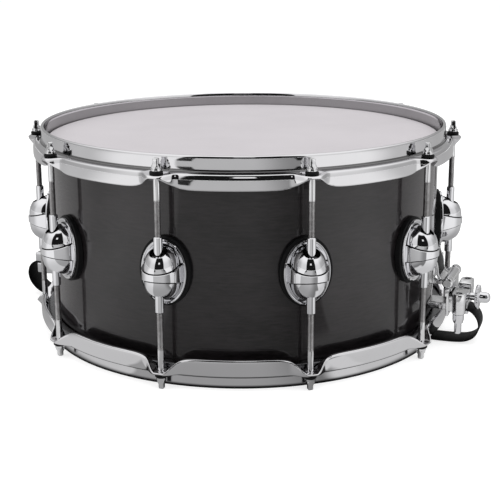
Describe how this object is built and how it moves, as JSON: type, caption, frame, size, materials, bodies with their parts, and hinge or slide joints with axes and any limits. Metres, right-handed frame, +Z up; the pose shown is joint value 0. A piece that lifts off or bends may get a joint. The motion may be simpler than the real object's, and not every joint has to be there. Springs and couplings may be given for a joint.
{
  "type": "snare drum",
  "caption": "Snare drum with a gloss wood shell, die-cast hoops, oval lugs, tension rods, a side throw-off strainer, a butt plate and snare wires.",
  "frame": {"origin": "on the drum's axis, in the plane of the lower rim that it stands on", "axes": "+Z up along the axis, +X through the strainer, -X through the butt plate; lugs stand every 36 degrees, the first one 18 degrees from +X"},
  "size_m": [0.461, 0.408, 0.188],
  "materials": {
    "shell_lacquer": "gloss charcoal lacquer over a faint horizontal wood grain",
    "coated_film": "sprayed matt white coating on polyester film",
    "clear_film": "hazy clear polyester film",
    "aluminium": "dark satin rolled aluminium",
    "chrome": "bright polished chrome plate",
    "rod_steel": "chrome-plated steel, cut thread duller than the shank",
    "gasket_rubber": "satin black rubber",
    "strap_ribbon": "woven black polyester ribbon with a slight sheen",
    "snare_wire": "bright drawn steel wire"
  },
  "bodies": {
    "drum": {"batter_flesh_hoop": "aluminium", "batter_head": "coated_film", "batter_hoop": "chrome", "butt_base": "chrome", "butt_clamp_plate": "chrome", "butt_strap": "strap_ribbon", "lever_pin": "rod_steel", "lug_01": "chrome", "lug_02": "chrome", "lug_03": "chrome", "lug_04": "chrome", "lug_05": "chrome", "lug_06": "chrome", "lug_07": "chrome", "lug_08": "chrome", "lug_09": "chrome", "lug_10": "chrome", "lug_gasket_01": "gasket_rubber", "lug_gasket_02": "gasket_rubber", "lug_gasket_03": "gasket_rubber", "lug_gasket_04": "gasket_rubber", "lug_gasket_05": "gasket_rubber", "lug_gasket_06": "gasket_rubber", "lug_gasket_07": "gasket_rubber", "lug_gasket_08": "gasket_rubber", "lug_gasket_09": "gasket_rubber", "lug_gasket_10": "gasket_rubber", "shell": "shell_lacquer", "snare_side_flesh_hoop": "aluminium", "snare_side_head": "clear_film", "snare_side_hoop": "chrome", "snare_wires": "snare_wire", "strainer_base": "chrome", "strainer_strap": "strap_ribbon", "vent_grommet": "chrome"},
    "strainer_carriage": {"strainer_carriage": "chrome", "strainer_clamp_plate": "chrome"},
    "strainer_lever": {"strainer_lever": "chrome"},
    "tension_knob": {"tension_knob": "chrome"},
    "adjusting_screw": {"adjusting_screw": "rod_steel"},
    "batter_tension_rod_01": {"batter_tension_rod_01": "rod_steel"},
    "batter_tension_rod_02": {"batter_tension_rod_02": "rod_steel"},
    "batter_tension_rod_03": {"batter_tension_rod_03": "rod_steel"},
    "batter_tension_rod_04": {"batter_tension_rod_04": "rod_steel"},
    "batter_tension_rod_05": {"batter_tension_rod_05": "rod_steel"},
    "batter_tension_rod_06": {"batter_tension_rod_06": "rod_steel"},
    "batter_tension_rod_07": {"batter_tension_rod_07": "rod_steel"},
    "batter_tension_rod_08": {"batter_tension_rod_08": "rod_steel"},
    "batter_tension_rod_09": {"batter_tension_rod_09": "rod_steel"},
    "batter_tension_rod_10": {"batter_tension_rod_10": "rod_steel"},
    "snare_side_tension_rod_01": {"snare_side_tension_rod_01": "rod_steel"},
    "snare_side_tension_rod_02": {"snare_side_tension_rod_02": "rod_steel"},
    "snare_side_tension_rod_03": {"snare_side_tension_rod_03": "rod_steel"},
    "snare_side_tension_rod_04": {"snare_side_tension_rod_04": "rod_steel"},
    "snare_side_tension_rod_05": {"snare_side_tension_rod_05": "rod_steel"},
    "snare_side_tension_rod_06": {"snare_side_tension_rod_06": "rod_steel"},
    "snare_side_tension_rod_07": {"snare_side_tension_rod_07": "rod_steel"},
    "snare_side_tension_rod_08": {"snare_side_tension_rod_08": "rod_steel"},
    "snare_side_tension_rod_09": {"snare_side_tension_rod_09": "rod_steel"},
    "snare_side_tension_rod_10": {"snare_side_tension_rod_10": "rod_steel"}
  },
  "joints": [
    {"name": "batter_tension_rod_01_turn", "type": "hinge", "parent": "drum", "child": "batter_tension_rod_01", "pos_m": [0.1826, 0.05933, 0.188], "axis": [0, 0, 1], "continuous": true},
    {"name": "batter_tension_rod_02_turn", "type": "hinge", "parent": "drum", "child": "batter_tension_rod_02", "pos_m": [0.11285, 0.15533, 0.188], "axis": [0, 0, 1], "continuous": true},
    {"name": "batter_tension_rod_03_turn", "type": "hinge", "parent": "drum", "child": "batter_tension_rod_03", "pos_m": [0, 0.192, 0.188], "axis": [0, 0, 1], "continuous": true},
    {"name": "batter_tension_rod_04_turn", "type": "hinge", "parent": "drum", "child": "batter_tension_rod_04", "pos_m": [-0.11285, 0.15533, 0.188], "axis": [0, 0, 1], "continuous": true},
    {"name": "batter_tension_rod_05_turn", "type": "hinge", "parent": "drum", "child": "batter_tension_rod_05", "pos_m": [-0.1826, 0.05933, 0.188], "axis": [0, 0, 1], "continuous": true},
    {"name": "batter_tension_rod_06_turn", "type": "hinge", "parent": "drum", "child": "batter_tension_rod_06", "pos_m": [-0.1826, -0.05933, 0.188], "axis": [0, 0, 1], "continuous": true},
    {"name": "batter_tension_rod_07_turn", "type": "hinge", "parent": "drum", "child": "batter_tension_rod_07", "pos_m": [-0.11285, -0.15533, 0.188], "axis": [0, 0, 1], "continuous": true},
    {"name": "batter_tension_rod_08_turn", "type": "hinge", "parent": "drum", "child": "batter_tension_rod_08", "pos_m": [0, -0.192, 0.188], "axis": [0, 0, 1], "continuous": true},
    {"name": "batter_tension_rod_09_turn", "type": "hinge", "parent": "drum", "child": "batter_tension_rod_09", "pos_m": [0.11285, -0.15533, 0.188], "axis": [0, 0, 1], "continuous": true},
    {"name": "batter_tension_rod_10_turn", "type": "hinge", "parent": "drum", "child": "batter_tension_rod_10", "pos_m": [0.1826, -0.05933, 0.188], "axis": [0, 0, 1], "continuous": true},
    {"name": "snare_side_tension_rod_01_turn", "type": "hinge", "parent": "drum", "child": "snare_side_tension_rod_01", "pos_m": [0.1826, 0.05933, 0], "axis": [0, 0, -1], "continuous": true},
    {"name": "snare_side_tension_rod_02_turn", "type": "hinge", "parent": "drum", "child": "snare_side_tension_rod_02", "pos_m": [0.11285, 0.15533, 0], "axis": [0, 0, -1], "continuous": true},
    {"name": "snare_side_tension_rod_03_turn", "type": "hinge", "parent": "drum", "child": "snare_side_tension_rod_03", "pos_m": [0, 0.192, 0], "axis": [0, 0, -1], "continuous": true},
    {"name": "snare_side_tension_rod_04_turn", "type": "hinge", "parent": "drum", "child": "snare_side_tension_rod_04", "pos_m": [-0.11285, 0.15533, 0], "axis": [0, 0, -1], "continuous": true},
    {"name": "snare_side_tension_rod_05_turn", "type": "hinge", "parent": "drum", "child": "snare_side_tension_rod_05", "pos_m": [-0.1826, 0.05933, 0], "axis": [0, 0, -1], "continuous": true},
    {"name": "snare_side_tension_rod_06_turn", "type": "hinge", "parent": "drum", "child": "snare_side_tension_rod_06", "pos_m": [-0.1826, -0.05933, 0], "axis": [0, 0, -1], "continuous": true},
    {"name": "snare_side_tension_rod_07_turn", "type": "hinge", "parent": "drum", "child": "snare_side_tension_rod_07", "pos_m": [-0.11285, -0.15533, 0], "axis": [0, 0, -1], "continuous": true},
    {"name": "snare_side_tension_rod_08_turn", "type": "hinge", "parent": "drum", "child": "snare_side_tension_rod_08", "pos_m": [0, -0.192, 0], "axis": [0, 0, -1], "continuous": true},
    {"name": "snare_side_tension_rod_09_turn", "type": "hinge", "parent": "drum", "child": "snare_side_tension_rod_09", "pos_m": [0.11285, -0.15533, 0], "axis": [0, 0, -1], "continuous": true},
    {"name": "snare_side_tension_rod_10_turn", "type": "hinge", "parent": "drum", "child": "snare_side_tension_rod_10", "pos_m": [0.1826, -0.05933, 0], "axis": [0, 0, -1], "continuous": true},
    {"name": "lever_throw", "type": "hinge", "parent": "drum", "child": "strainer_lever", "pos_m": [0.1967, 0, 0.058], "axis": [0, 1, 0], "range_deg": [0, 105]},
    {"name": "carriage_slide", "type": "slide", "parent": "drum", "child": "strainer_carriage", "axis": [0, 0, 1], "range_m": [-0.00605, 0], "deforming": ["strainer_strap"]},
    {"name": "tension_knob_turn", "type": "hinge", "parent": "strainer_carriage", "child": "tension_knob", "pos_m": [0.2222, 0, 0.0412], "axis": [1, 0, 0], "continuous": true},
    {"name": "adjusting_screw_turn", "type": "hinge", "parent": "drum", "child": "adjusting_screw", "pos_m": [0.2074, -0.0232, 0.0134], "axis": [0, 0, -1], "continuous": true}
  ],
  "couplings": [
    {"joint": "carriage_slide", "follows": "lever_throw", "m_per_rad": -0.003274}
  ]
}
